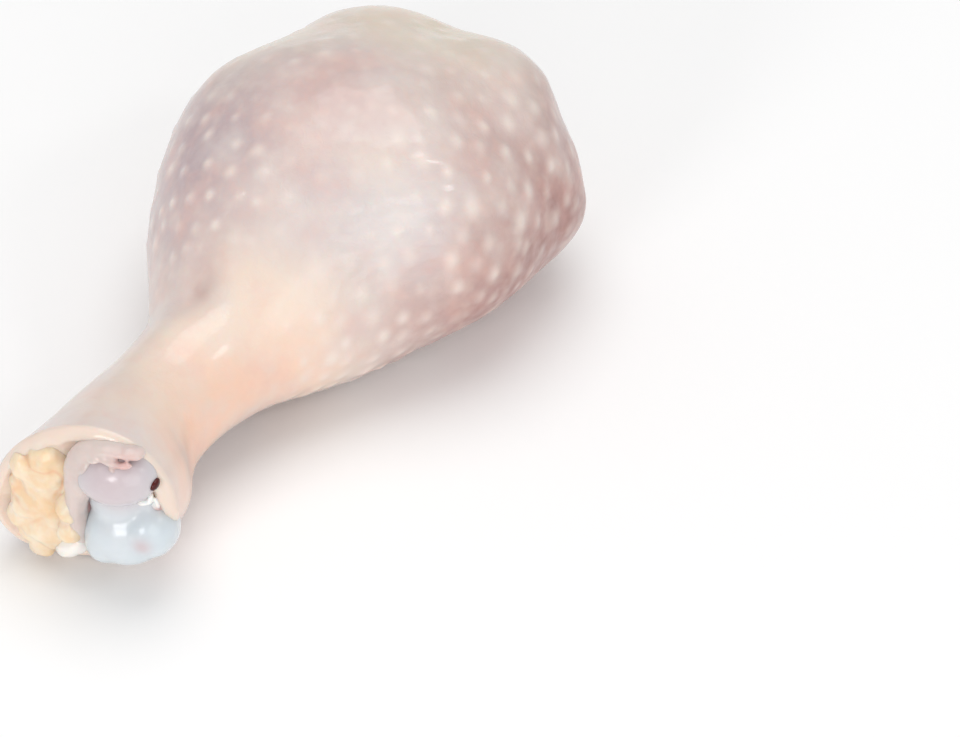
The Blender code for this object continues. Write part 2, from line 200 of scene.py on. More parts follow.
# Slack of the skin: heights and sizes of its soft waves, puckers, fine wrinkles and low ridges.
SLACK_HEIGHT, SLACK_SIZE = 0.25, 9.0
PUCKER_HEIGHT, PUCKER_SIZE, PUCKER_LEAST = 0.07, 3.2, 0.4  # they grow with the follicles, from the least
WRINKLES_MIDDLE, WRINKLES_REACH = (0.47, 38.0), 11.0  # along the shin
WRINKLES_HEIGHT, WRINKLES_SIZE, WRINKLES_STRETCH = 0.14, 1.5, (1.0, 0.4, 1.0)
RIDGES_MIDDLE, RIDGES_REACH, RIDGES_HEIGHT = (0.57, 28.0), 17.0, 0.045  # between the files of follicles
RIDGES_SLANT = 2.7  # how far they turn round the leg over its whole length, in radians
ROWS_MIDDLE, ROWS_REACH, ROWS_STRENGTH = (0.64, 0.0), 18.0, 0.5  # where the gaps between rings are pinker
ROWS_WAVER, ROWS_WAVER_SIZE = 0.25, 8.0  # how far those gaps stray, in rings, and the size of that
SKIN_COLUMNS, SKIN_ROWS = 324, 286  # points round the leg and along it

# Melting of lobes into one skin.
LOBE_SEGMENTS, LOBE_RINGS = 28, 14
SOFTENING = 0.5

# Lobes of the knuckle, in the frame of the cut: centre across, up and out, then radii, then roll.
KNUCKLE_LOBES = (
    ((6.8, -2.8, -0.2), (6.7, 5.6, 5.4), 8.0),  # lower condyle
    ((4.3, -4.6, -0.2), (3.7, 4.3, 5.0), 0.0),  # its corner on the calf side
    ((11.1, -1.0, -0.5), (4.4, 4.9, 5.0), 0.0),  # its bulge on the shin side
    ((6.5, 9.6, 0.8), (6.8, 5.1, 5.3), 13.0),  # upper condyle
    ((6.0, 3.0, -1.6), (5.4, 5.0, 4.9), 0.0),  # saddle between them
    ((11.0, 5.0, 0.4), (1.4, 0.9, 1.2), 25.0),  # torn ligament on the shin side
    ((4.6, 1.6, -8.0), (4.8, 6.2, 8.0), 0.0),  # end of the shaft
)
UPPER_CONDYLE, CONDYLE_REACH = (6.8, 10.6, 2.0), 7.0  # middle of its rosy tint, and how far that goes
BRUISE, BRUISE_RADIUS, BRUISE_STRENGTH = (11.5, -1.0, 4.4), 1.5, 0.9  # pink spot on the lower condyle
KNUCKLE_RIPPLES = ((0.05, 2.6, 8),)  # height, size and seed, as in all the ripples below
SHAFT_SIDES = 24
SHAFT = (  # y, x and z of the shaft's middle, and its radius
    (-46.0, 5.6, 15.4, 4.2),
    (-38.0, 2.4, 14.6, 4.0),
    (-28.0, -0.8, 14.0, 3.8),
    (-10.0, -0.8, 15.4, 3.7),
    (14.0, -2.0, 18.5, 4.1),
    (30.0, -2.0, 20.0, 5.6),
    (42.0, -2.0, 20.5, 8.6),
    (47.0, -2.0, 20.5, 8.0),
    (49.5, -2.0, 20.5, 5.0),
)

# Beds of the fat, in the frame of the cut, and the lumps on it.
FAT_BEDS = (
    ((-5.2, 5.8, -0.5), (4.5, 5.4, 3.2)),
    ((-6.9, -0.6, -1.0), (5.0, 6.2, 3.8)),
    ((-6.4, -5.6, -0.8), (5.2, 5.2, 3.6)),
    ((-1.1, 1.2, 2.3), (1.9, 2.7, 2.3)),  # tongue that overlaps the sheath
    ((-1.0, -2.6, 2.3), (2.0, 2.8, 2.3)),
)
FAT_MIDDLE, FAT_HALF = (-6.4, -1.0, 1.4), (4.6, 8.8)  # middle of the field of lumps, and its half size
FAT_LUMPS, FAT_LUMP_RADII = 17, (1.6, 2.7)
FAT_UNEVEN = 0.5  # spread of the lumps' height
FAT_FALL = 1.1  # how much lower the outermost lumps lie
FAT_LUMP_LENGTHS, FAT_LUMP_FLAT = (1.0, 1.4), 0.7  # their length and height, as shares of their radius
GOLDEN_TURN = 2.4  # radians from one lump to the next, which spreads them evenly
FAT_FOLD_SIZE, FAT_FOLD_DEPTH, FAT_FOLD_LIMIT, FAT_SINK = 5.0, 0.7, 0.4, 0.1  # folds between the lumps
FAT_RIPPLES = ((0.3, 1.6, 12), (0.3, 2.8, 14))
CREASE_WIDTH, CREASE_STRENGTH = 0.12, 0.7  # deeper colour in the folds
CREASE_PATCH, CREASE_FROM, CREASE_FULL = 6.0, -0.35, 0.25  # size of its patches, and their band of noise

# Course of the tendon sheath, in the frame of the cut, with its radii on the way.
SHEATH = (
    ((0.3, -4.4, 1.0), (1.3, 1.8, 1.8)),
    ((0.2, -0.8, 2.0), (1.5, 2.2, 2.2)),
    ((0.2, 3.6, 1.9), (1.7, 2.6, 2.4)),
    ((0.8, 7.6, 1.6), (2.7, 2.6, 2.8)),
    ((1.2, 11.4, 1.5), (2.3, 2.2, 2.6)),
    ((3.4, 14.2, 1.8), (2.4, 1.2, 2.2)),
    ((7.0, 15.3, 1.8), (2.4, 0.8, 1.9)),
    ((10.0, 15.2, 1.4), (1.5, 0.7, 1.5)),
)
HOOD_FOLDS = (  # thin folds of the membrane's torn edge over the upper condyle
    ((8.6, 14.0, 3.4), (1.7, 0.35, 0.8), 10.0),
    ((6.4, 14.2, 3.7), (1.6, 0.4, 0.8), -4.0),
    ((7.6, 13.0, 4.1), (1.3, 0.3, 0.6), -14.0),
    ((4.3, 13.8, 3.6), (1.4, 0.45, 0.9), 24.0),
    ((2.6, 11.6, 3.7), (0.5, 1.5, 0.8), -28.0),
)
SHEATH_STEPS = 24
SHEATH_RIPPLES = ((0.28, 3.0, 21), (0.1, 1.1, 22))
HOOD_END, HOOD_END_RADIUS, HOOD_END_STRENGTH = (8.9, 13.6, 3.2), 2.2, 0.8  # where the membrane is pinkest
SHEATH_STUB = ((-1.8, -8.1, 0.2), (3.2, 2.0, 2.7), 28.0)
STUB_REACH = 3.9  # how far the stub's white goes
TORN_TISSUE = (  # pink tissue in the cleft beside the lower condyle and in the notch by the ligament
    ((1.0, 3.0, 0.2), (0.7, 1.6, 1.0), 0.0),
    ((1.0, 0.6, 0.4), (0.7, 2.0, 1.2), 6.0),
    ((1.2, -2.2, 0.2), (0.6, 1.8, 1.2), 4.0),
    ((12.2, 4.3, -0.6), (1.3, 1.5, 1.3), 0.0),
    ((10.7, 5.4, 1.3), (1.5, 0.5, 0.7), 18.0),
    ((11.7, 6.2, 0.9), (0.5, 1.1, 0.6), -15.0),
    ((12.7, 5.3, 0.5), (0.5, 1.0, 0.6), 10.0),
)
TISSUE_RIPPLES = ((0.2, 1.0, 31),)
TORN_LIGAMENT, LIGAMENT_REACH = (11.6, 5.8, 1.0), 1.9  # where the torn tissue is white
BLOOD_DROP, DROP_SHARES, DROP_ROLL = (12.9, 10.0, 1.6), (0.55, 0.85, 1.0), -20.0  # its place, form and roll

# The camera, fitted to the leg's outline together with the loft.
CAMERA_TURN, CAMERA_RISE = math.radians(36.5), math.radians(42.0)
CAMERA_DISTANCE = 900.0
CAMERA_TARGET = (37.3, 4.3, 20.0)  # before the shift by ORIGIN
IMAGE_WIDTH = 960
FOCAL_PIXELS = 5900.0
SENSOR = 36.0
CLIP_START, CLIP_END = 0.05, 10.0  # in metres

# The studio, in metres.
FLOOR_HALF, FLOOR_DROP = 2.0, 0.0002
LIGHT_DISTANCE = 0.9
LIGHTS = (  # name, way to it, its width, and its share of the power
    ("key_front", (0.1, -0.93, 0.35), 0.3, 1.75),
    ("softbox_above", (-0.1, 0.2, 1.0), 0.8, 3.2),
    ("softbox_right", (0.75, -0.55, 0.35), 0.7, 1.55),
    ("glint_lamp", (0.7, 0.14, 0.69), 0.14, 0.35),
)
AIR_STRENGTH = 0.54  # white light from all round


def linear(hex_colour):
    """An sRGB colour such as #E2D0CB as linear RGBA."""
    values = [int(hex_colour[i : i + 2], 16) / 255 for i in (1, 3, 5)]
    return (*[v / 12.92 if v <= 0.04045 else ((v + 0.055) / 1.055) ** 2.4 for v in values], 1.0)


def smooth_step(x, low, high):
    """0 below low, 1 above high, and a smooth slope between them."""
    t = np.clip((x - low) / (high - low), 0.0, 1.0)
    return t * t * (3.0 - 2.0 * t)


def through(xs, ys, x):
    """A smooth curve through the points (xs, ys), read at x."""
    step = np.diff(xs)
    slope = np.diff(ys) / step
    tangent = np.empty_like(ys)
    tangent[1:-1] = (slope[:-1] * step[1:] + slope[1:] * step[:-1]) / (step[1:] + step[:-1])
    tangent[0], tangent[-1] = slope[0], CURVE_END * slope[-1]
    i = np.clip(np.searchsorted(xs, x) - 1, 0, len(xs) - 2)
    t = (x - xs[i]) / step[i]
    return (
        (2 * t**3 - 3 * t**2 + 1) * ys[i]
        + (t**3 - 2 * t**2 + t) * step[i] * tangent[i]
        + (3 * t**2 - 2 * t**3) * ys[i + 1]
        + (t**3 - t**2) * step[i] * tangent[i + 1]
    )


def leg_form(around, along):
    """The plain form at an angle around (0 on the shin side, rising to the top) and a share along."""
    start, shoulder = STATIONS[0, 0], STATIONS[-1, 0]
    y = np.minimum(start + (shoulder - start) * along / LOFT_SHARE, shoulder)
    left, right, bottom, top = (through(STATIONS[:, 0], STATIONS[:, c], y) for c in (1, 2, 3, 4))
    turn = 0.5 * math.pi * np.clip((along - LOFT_SHARE) / (1.0 - LOFT_SHARE), 0.0, 1.0)
    shrink, reach = np.cos(turn) ** END_POWER, np.sin(turn)
    middle_x = (left + right) / 2 * (1 - reach**2) + POLE_X * reach**2
    middle_z = (bottom + SAG * (top - bottom)) * (1 - reach**2) + POLE_Z * reach**2
    up = np.where(np.sin(around) > 0, 1.0 - SAG, SAG)
    x = middle_x + (right - left) / 2 * shrink * np.cos(around)
    z = middle_z + (top - bottom) * up * shrink * np.sin(around)
    near_cut = 1.0 - smooth_step(y, start, start + CUT_FADE)
    off = np.degrees(np.angle(np.exp(1j * (around - math.radians(BARE_ANGLE)))))
    drawn_back = BARE_DEPTH * np.exp(-((off / BARE_SPREAD) ** 2))
    y_cut = near_cut * (CUT_SLOPE * (x - middle_x) + drawn_back)
    z_cut = near_cut * CUT_TILT * (x - middle_x)
    return np.stack([x, y + (END_Y - shoulder) * reach + y_cut, z + z_cut], -1)


def normals_of(form, around, along):
    """Outward unit normals of a form, from its slopes round and along the leg."""
    d = SLOPE_STEP
    round_slope = form(around + d, along) - form(around - d, along)
    long_slope = form(around, np.minimum(along + d, 1.0)) - form(around, np.maximum(along - d, 0.0))
    n = np.cross(long_slope, round_slope)
    return n / np.maximum(np.linalg.norm(n, axis=-1, keepdims=True), 1e-12)


def spot(along, degrees):
    """A place on the plain form."""
    return leg_form(np.array(math.radians(degrees)), np.array(along))


def fade(points, middle, radius, power):
    """1 at a middle, dying out past a radius: a soft mound with power 2, a flat-topped one with power 4."""
    return np.exp(-((np.linalg.norm(points - middle, axis=-1) / radius) ** power))


def swell_heights(points):
    heights = np.zeros(points.shape[:-1])
    for along, degrees, radius, height in SWELLS:
        heights += height * fade(points, spot(along, degrees), radius, 2)
    return heights


def rest_flat(z):
    """Presses what would sink below the table flat onto it."""
    eased = (z + FLAT_BLEND) ** 2 / (4 * FLAT_BLEND)
    return np.where(z < -FLAT_BLEND, 0.0, np.where(z < FLAT_BLEND, eased, z))


def bump_strength(points):
    """How much the follicles stand out: not at all at the ankle, and most in the strong patches."""
    strength = np.full(points.shape[:-1], FAINT)
    for along, degrees, radius, amount in STRONG_FOLLICLES:
        strength = np.maximum(strength, FAINT + amount * fade(points, spot(along, degrees), radius, 4))
    return strength * smooth_step(points[..., 1], BUMPS_FROM, BUMPS_FULL)


def ankle_matrix():
    """The frame of the cut: X across it to the shin side, Y up, and Z straight out of it."""
    _, left, right, bottom, top = STATIONS[0]
    across = Vector((1.0, CUT_SLOPE, 0.0)).normalized()
    out = Vector((CUT_SLOPE, -1.0, 0.0)).normalized()
    cut = Matrix((across, (0.0, 0.0, 1.0), out)).transposed().to_4x4()
    cut.translation = ((left + right) / 2, STATIONS[0, 0], bottom + SAG * (top - bottom))
    return cut


def in_cut(place):
    """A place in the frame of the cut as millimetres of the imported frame."""
    cut = np.array(ankle_matrix())
    return cut[:3, 3] + cut[:3, :3] @ np.array(place) + np.array(ORIGIN)


def unit(vector):
    return vector / np.linalg.norm(vector)


def ripple(points, size, seed):
    """Smooth noise of about one bump per size, from -1 to 1, at points in millimetres."""
    shift = Vector([seed * step for step in SEED_STEPS])
    return np.array([noise.noise(Vector(p) / size + shift) for p in points])


def rippled(points, ripples):
    """Sum of several ripples, each given by its height, size and seed."""
    return sum(height * ripple(points, size, seed) for height, size, seed in ripples)


def follicle_field(points, height, radius):
    """Relief and nearness of the feather follicles at points on the plain form."""
    draw = random.Random(RNG_SEED)
    relief, nearness = np.zeros(len(points)), np.zeros(len(points))
    for ring in range(LATTICE_RINGS):
        for column in range(ring % 2, LATTICE_AROUND, 2):
            around = 2 * math.pi * (column + draw.uniform(-STRAY_AROUND, STRAY_AROUND)) / LATTICE_AROUND
            along = max(ring + draw.uniform(-STRAY_ALONG, STRAY_ALONG), 0.0) / LATTICE_RINGS
            size = radius * draw.uniform(*FOLLICLE_SIZES)
            tall = height * draw.uniform(*FOLLICLE_HEIGHTS)
            plug = draw.uniform(*FOLLICLE_PLUGS)
            centre = leg_form(np.array(around), np.array(along))
            strength = float(bump_strength(centre))
            if strength < FOLLICLE_LEAST:
                continue
            lengthwise = unit(leg_form(np.array(around), np.array(along + NUDGE_ALONG)) - centre)
            crosswise = unit(leg_form(np.array(around + NUDGE_AROUND), np.array(along)) - centre)
            axis = unit(crosswise + FOLLICLE_SLANT * lengthwise)
            offset = points - centre
            near = np.flatnonzero((np.abs(offset) < FOLLICLE_REACH * size).all(axis=1))
            offset = offset[near]
            reach = offset @ axis
            aside = (offset**2).sum(axis=1) - reach**2
            long = 1.0 + FOLLICLE_STRETCH * max(math.cos(around), 0.0)
            dome = np.exp(-((reach / (long * size)) ** 2) - aside / size**2) * strength
            relief[near] += tall * dome
            nearness[near] = np.maximum(nearness[near], plug * dome)
    return relief, nearness


def new_object(name, mesh, material, node=None):
    """Puts a mesh in the scene as a piece of the drumstick, in its place, with its finish, and hides the
    imported part it stands for.
    """
    thing = bpy.data.objects.new(name, mesh)
    bpy.context.scene.collection.objects.link(thing)
    mesh.materials.clear()
    mesh.materials.append(material)
    mesh.shade_smooth()
    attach(thing, "root")
    if node:
        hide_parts(node)
    return thing


def moved(points):
    """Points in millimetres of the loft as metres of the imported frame."""
    return (np.asarray(points) + ORIGIN) * MM


def store(mesh, name, shares):
    """Keeps a share for each vertex of a mesh, for its material to read by name."""
    layer = mesh.attributes.new(name, "FLOAT", "POINT")
    layer.data.foreach_set("value", np.asarray(shares, dtype=np.float32))


# Leg


def slack_heights(plain, around, along):
    """Heights of the slack in the skin: soft waves, puckers, fine wrinkles and low ridges."""
    waves = SLACK_HEIGHT * ripple(plain, SLACK_SIZE, seed=1)
    puckers = PUCKER_HEIGHT * ripple(plain, PUCKER_SIZE, seed=2) * (PUCKER_LEAST + bump_strength(plain))
    shin = fade(plain, spot(*WRINKLES_MIDDLE), WRINKLES_REACH, 4)
    wrinkles = WRINKLES_HEIGHT * shin * ripple(plain * WRINKLES_STRETCH, WRINKLES_SIZE, seed=9)
    ridged = fade(plain, spot(*RIDGES_MIDDLE), RIDGES_REACH, 4)
    ridges = RIDGES_HEIGHT * ridged * np.cos(LATTICE_AROUND * (around + RIDGES_SLANT * along))
    return waves + puckers + wrinkles + ridges


def tone_layers(plain, along):
    """Shares of the tones under the skin and of painted shade, and of the pink gaps between the rings of
    follicles.
    """
    layers = {name: np.zeros(len(plain)) for name in SKIN_TONES}
    spread = 1.0 + PATCH_UNEVEN * ripple(plain, PATCH_RIPPLE, seed=3)
    for name, share, degrees, radius, amount in PATCHES:
        layers[name] += amount * fade(plain, spot(share, degrees), radius * spread, 2)
    waver = ROWS_WAVER * ripple(plain, ROWS_WAVER_SIZE, seed=6)
    crest = np.cos(2 * math.pi * (LATTICE_RINGS * along + waver))
    slack = ROWS_STRENGTH * fade(plain, spot(*ROWS_MIDDLE), ROWS_REACH, 4)
    layers["row_gap"] = slack * (0.5 - 0.5 * crest)
    return layers


def skin_grid(columns, rows, settings):
    """Points of the skin from rim to pole with their colour layers, as rings of the same length."""
    around, along = np.meshgrid(
        2 * math.pi * np.arange(columns) / columns, np.arange(rows) / rows, indexing="xy"
    )
    around, along = around.ravel(), along.ravel()
    plain = leg_form(around, along)
    relief, nearness = follicle_field(plain, settings.follicle_height, settings.follicle_radius)
    relief += slack_heights(plain, around, along)
    from_pole = np.linalg.norm(plain - leg_form(np.array(0.0), np.array(1.0)), axis=-1)
    near_pole = 1.0 - smooth_step(from_pole, PLEAT_FULL * PLEAT_REACH, PLEAT_REACH)
    pleats = near_pole * (0.5 + 0.5 * np.cos(PLEATS * around + PLEAT_DRIFT * np.sin(2 * around)))
    height = swell_heights(plain) - PLEAT_DEPTH * pleats + relief * (1.0 - near_pole)
    points = plain + normals_of(leg_form, around, along) * height[:, None]
    points[:, 2] = rest_flat(points[:, 2])
    return points, {**tone_layers(plain, along), "follicle": nearness}


def add_lip(points, faces, columns):
    """Turns the skin in at the rim and closes it with the cut that the knuckle, fat and tendon lie in."""
    cut = np.array(ankle_matrix())
    centre, across, out = cut[:3, 3], cut[:3, 0], cut[:3, 2]
    rim = np.array(points[:columns])
    radius = np.linalg.norm(rim - centre, axis=1, keepdims=True)
    degrees = np.degrees(np.arctan2(rim[:, 2] - centre[2], (rim - centre) @ across))[:, None]
    fold = sum(width * np.exp(-(((degrees - angle) / spread) ** 2)) for angle, spread, width in FOLDS)
    ragged = RAGGED_HEIGHT * ripple(rim, RAGGED_SIZE, seed=5)[:, None]
    steps = np.array(LIP)
    station = np.arange(len(steps), dtype=float)
    previous = 0
    for s in np.linspace(0.0, station[-1], LIP_RINGS + 1)[1:]:
        inset, step = (float(through(station, steps[:, c], s)) for c in (0, 1))
        inset += RAGGED_INSET * ragged * min(s, 1.0)
        start = len(points)
        inward = 1.0 - inset * (1.0 + fold) / radius
        outward = step + FOLD_RISE * fold + ragged * math.sin(min(s, 2.0))
        points.extend(centre + (rim - centre) * inward + out * outward)
        for i in range(columns):
            j = (i + 1) % columns
            faces.append((previous + i, previous + j, start + j, start + i))
        previous = start
    floor = len(points)
    points.append(centre + out * LIP[-1][1])
    faces += [(previous + i, previous + (i + 1) % columns, floor) for i in range(columns)]


def skin_mesh(settings):
    columns, rows = ((SKIN_COLUMNS, SKIN_ROWS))
    grid, layers = skin_grid(columns, rows, settings)
    points, faces = list(grid), []
    for ring in range(rows - 1):
        low, high = ring * columns, (ring + 1) * columns
        for i in range(columns):
            j = (i + 1) % columns
            faces.append((low + j, low + i, high + i, high + j))
    last, pole = (rows - 1) * columns, len(points)
    points.append(leg_form(np.array(0.0), np.array(1.0)))
    faces += [(last + (i + 1) % columns, last + i, pole) for i in range(columns)]
    add_lip(points, faces, columns)
    mesh = bpy.data.meshes.new("plucked_skin")
    mesh.from_pydata(moved(points).tolist(), [], faces)
    for name, shares in layers.items():
        store(mesh, name, np.pad(shares, (0, len(points) - len(shares))))
    cut_edge = np.zeros(len(points))
    cut_edge[pole + 1 :] = 1.0
    cut_edge[:columns] = RIM_SHADE
    store(mesh, "cut_edge", cut_edge)
    return mesh


# Knuckle, fat and sheath


def lobe(centre, radii, roll=0.0):
    """An ellipsoid in the frame of the cut: centre and radii across, up and out, and roll in degrees."""
    turn = Matrix.Rotation(math.radians(roll), 4, "Z")
    return ankle_matrix() @ Matrix.Translation(centre) @ turn @ Matrix.Diagonal((*radii, 1.0))


def fused(name, places, voxel, passes, extra=None):
    """Lobes, and any extra mesh in millimetres, melted into one closed skin with soft fillets."""
    shape = bmesh.new()
    for place in places:
        bmesh.ops.create_uvsphere(
            shape, u_segments=LOBE_SEGMENTS, v_segments=LOBE_RINGS, radius=1.0, matrix=place
        )
    if extra:
        shape.from_mesh(extra)
    shift = Matrix.Scale(MM, 4) @ Matrix.Translation(ORIGIN)
    bmesh.ops.transform(shape, matrix=shift, verts=shape.verts)
    mesh = bpy.data.meshes.new(name + "_lobes")
    shape.to_mesh(mesh)
    shape.free()
    thing = bpy.data.objects.new(name + "_lobes", mesh)
    bpy.context.scene.collection.objects.link(thing)
    remesh = thing.modifiers.new("Melt", "REMESH")
    remesh.mode = "VOXEL"
    remesh.voxel_size = voxel * MM * 1.0
    soften = thing.modifiers.new("Soften", "SMOOTH")
    soften.factor = SOFTENING
    soften.iterations = passes
    bpy.context.view_layer.update()
    graph = bpy.context.evaluated_depsgraph_get()
    melted = bpy.data.meshes.new_from_object(thing.evaluated_get(graph))
    melted.name = name
    bpy.data.objects.remove(thing)
    return melted


def displaced(mesh, heights):
    """Moves each vertex of a mesh along its normal by a height in millimetres."""
    normals = [vertex.normal.copy() for vertex in mesh.vertices]
    for vertex, normal, height in zip(mesh.vertices, normals, heights):
        vertex.co += normal * float(height) * MM
    mesh.update()


def mesh_points(mesh):
    points = np.empty(len(mesh.vertices) * 3)
    mesh.vertices.foreach_get("co", points)
    return points.reshape(-1, 3) / MM


def shaft_mesh():
    """The bone's shaft, from inside the knuckle along the leg to a flared head short of the thick end."""
    points, faces = [], []
    for y, x, z, radius in SHAFT:
        for i in range(SHAFT_SIDES):
            angle = 2 * math.pi * i / SHAFT_SIDES
            points.append((x + radius * math.cos(angle), y, z + radius * math.sin(angle)))
    for low in range(0, len(points) - SHAFT_SIDES, SHAFT_SIDES):
        for i in range(SHAFT_SIDES):
            j = (i + 1) % SHAFT_SIDES
            faces.append((low + j, low + i, low + SHAFT_SIDES + i, low + SHAFT_SIDES + j))
    faces.append(tuple(range(SHAFT_SIDES)))
    faces.append(tuple(reversed(range(len(points) - SHAFT_SIDES, len(points)))))
    mesh = bpy.data.meshes.new("shaft")
    mesh.from_pydata(points, [], faces)
    return mesh


def fat_lobes():
    """Beds of fat with lumps of uneven size pressed together on them."""
    draw = random.Random(RNG_SEED)
    lobes = [lobe(*bed) for bed in FAT_BEDS]
    x, z, out = FAT_MIDDLE
    for i in range(FAT_LUMPS):
        angle = GOLDEN_TURN * i
        reach = math.sqrt((i + 0.5) / FAT_LUMPS)
        radius = draw.uniform(*FAT_LUMP_RADII)
        side = (FAT_HALF[0] * reach * math.cos(angle), FAT_HALF[1] * reach * math.sin(angle))
        height = out - FAT_FALL * reach**2 + draw.uniform(-FAT_UNEVEN, FAT_UNEVEN)
        radii = (radius, radius * draw.uniform(*FAT_LUMP_LENGTHS), FAT_LUMP_FLAT * radius)
        lobes.append(lobe((x + side[0], z + side[1], height), radii))
    return lobes


def sheath_lobes():
    """A band beside the knuckle that folds over its top and ends in a stub below."""
    path = np.array([point for point, _ in SHEATH])
    half = np.array([radii for _, radii in SHEATH])
    station = np.arange(len(SHEATH), dtype=float)
    lobes = [lobe(*place) for place in (SHEATH_STUB, *HOOD_FOLDS)]
    for s in np.linspace(0.0, station[-1], SHEATH_STEPS):
        centre = [float(through(station, path[:, c], s)) for c in range(3)]
        radii = [float(through(station, half[:, c], s)) for c in range(3)]
        lobes.append(lobe(centre, radii))
    return lobes


# Materials


def add(tree, kind, links=(), values=(), **settings):
    """Adds a node with its settings; links are (input, socket) pairs and values (input, value) pairs."""
    node = tree.nodes.new(kind)
    for name, value in settings.items():
        setattr(node, name, value)
    for name, value in values:
        node.inputs[name].default_value = value
    for name, socket in links:
        tree.links.new(socket, node.inputs[name])
    return node


def started(name, constants):
    """A new material with these constants on its Principled surface: the material, its tree and shader."""
    material = bpy.data.materials.new(name)
    material.use_nodes = True
    shader = material.node_tree.nodes["Principled BSDF"]
    for socket, value in constants.items():
        shader.inputs[socket].default_value = value
    return material, material.node_tree, shader


def mottled(tree, place, pattern, band, pair):
    """A pair of colours of one tissue in soft clouds, the second where the clouds rise through a band."""
    cloud = add(tree, "ShaderNodeTexNoise", [("Vector", place)], pattern.items())
    spread = add(tree, "ShaderNodeMapRange", [("Value", cloud.outputs[0])], band.items())
    values = [(6, pair[0]), (7, pair[1])]
    mix = add(tree, "ShaderNodeMix", [(0, spread.outputs[0])], values, data_type="RGBA")
    return mix.outputs[2]


def veiled(tree, colour, tone, value, band):
    """A colour socket under a tone that shows where a value passes through a band."""
    amount = add(tree, "ShaderNodeMapRange", [("Value", value)], band.items())
    links = [(0, amount.outputs[0]), (6, colour)]
    mix = add(tree, "ShaderNodeMix", links, [(7, tone)], data_type="RGBA")
    return mix.outputs[2]


def layered(tree, colour, tone, layer):
    """A colour socket under a tone that shows by the shares in a layer of the mesh."""
    amount = add(tree, "ShaderNodeAttribute", attribute_name=layer)
    links = [(0, amount.outputs["Fac"]), (6, colour)]
    mix = add(tree, "ShaderNodeMix", links, [(7, tone)], data_type="RGBA")
    return mix.outputs[2]


def plucked_skin(settings):
    """Raw chicken skin, scalded and plucked: thin, moist, and clear enough to show fat and flesh below."""
    constants = {
        "Roughness": 0.42,
        "IOR": 1.4,
        "Subsurface Weight": 0.35,
        "Subsurface Radius": (1.0, 0.45, 0.3),
        "Subsurface Scale": 0.0022,
        "Coat Weight": 0.6,
        "Coat Roughness": 0.13,
    }
    material, tree, shader = started("Raw chicken skin, plucked", constants)
    place = add(tree, "ShaderNodeTexCoord").outputs["Object"]
    # Mottling of the flesh under the skin, about 14 mm across.
    pair = ((*settings.skin_colour, 1.0), (*settings.skin_pink, 1.0))
    pattern = {"Scale": 70.0, "Detail": 3.0, "Roughness": 0.55}
    colour = mottled(tree, place, pattern, {"From Min": 0.35, "From Max": 0.65}, pair)
    # Tones of the flesh under the skin in layers, the last of them painted shade.
    for name, tone in SKIN_TONES.items():
        colour = layered(tree, colour, linear(tone), name)
    # Uneven fat and flesh under the skin show through it everywhere, in pink and whitish clouds of 8 mm.
    values = [("Scale", 130.0), ("Detail", 3.0), ("Roughness", 0.6)]
    clouds = add(tree, "ShaderNodeTexNoise", [("Vector", place)], values).outputs[0]
    rose = {"From Min": 0.5, "From Max": 0.8, "To Max": 0.5}
    colour = veiled(tree, colour, linear("#EABFB2"), clouds, rose)
    haze = {"From Min": 0.48, "From Max": 0.2, "To Max": 0.35}
    colour = veiled(tree, colour, linear("#E4DED8"), clouds, haze)
    # Slack skin is pinker in the gaps between the rings of follicles, in streaks 8 mm long.
    slack = add(tree, "ShaderNodeMapping", [("Vector", place)], [("Scale", (0.3, 1.0, 0.3))])
    values = [("Scale", 420.0), ("Detail", 2.0)]
    streak = add(tree, "ShaderNodeTexNoise", [("Vector", slack.outputs[0])], values).outputs[0]
    gap = add(tree, "ShaderNodeAttribute", attribute_name="row_gap").outputs["Fac"]
    hollow = add(tree, "ShaderNodeMath", [(0, gap), (1, streak)], operation="MULTIPLY").outputs[0]
    links, values = [(0, hollow), (6, colour)], [(7, linear("#C9A59C"))]
    colour = add(tree, "ShaderNodeMix", links, values, data_type="RGBA").outputs[2]
    # Flecks of fat just under the skin, 4 mm across.
    values = [("Scale", 240.0), ("Detail", 2.0), ("Roughness", 0.5)]
    flecks = add(tree, "ShaderNodeTexNoise", [("Vector", place)], values).outputs[0]
    band = {"From Min": 0.45, "From Max": 0.8, "To Max": 0.35}
    colour = veiled(tree, colour, linear("#EADCD2"), flecks, band)
    # Each follicle holds a plug of pale fat under the skin.
    follicle = add(tree, "ShaderNodeAttribute", attribute_name="follicle").outputs["Fac"]
    band = {"From Min": 0.05, "From Max": 0.8, "To Max": 0.6}
    colour = veiled(tree, colour, (*settings.follicle_colour, 1.0), follicle, band)
    colour = layered(tree, colour, linear("#E9D6C8"), "cut_edge")
    tree.links.new(colour, shader.inputs["Base Color"])
    # Grain of the outer skin, 0.5 mm, and its stretch lines of about 1.6 mm.
    grain = add(tree, "ShaderNodeTexNoise", [("Vector", place)], [("Scale", 1900.0), ("Detail", 2.0)])
    values = [("Scale", 620.0), ("Detail", 3.0), ("Distortion", 0.8)]
    lines = add(tree, "ShaderNodeTexNoise", [("Vector", place)], values)
    values = [("Strength", 0.25), ("Distance", 0.00005)]
    low = add(tree, "ShaderNodeBump", [("Height", grain.outputs[0])], values)
    links = [("Height", lines.outputs[0]), ("Normal", low.outputs[0])]
    bump = add(tree, "ShaderNodeBump", links, [("Strength", 0.5), ("Distance", 0.00016)])
    tree.links.new(bump.outputs[0], shader.inputs["Normal"])
    return material


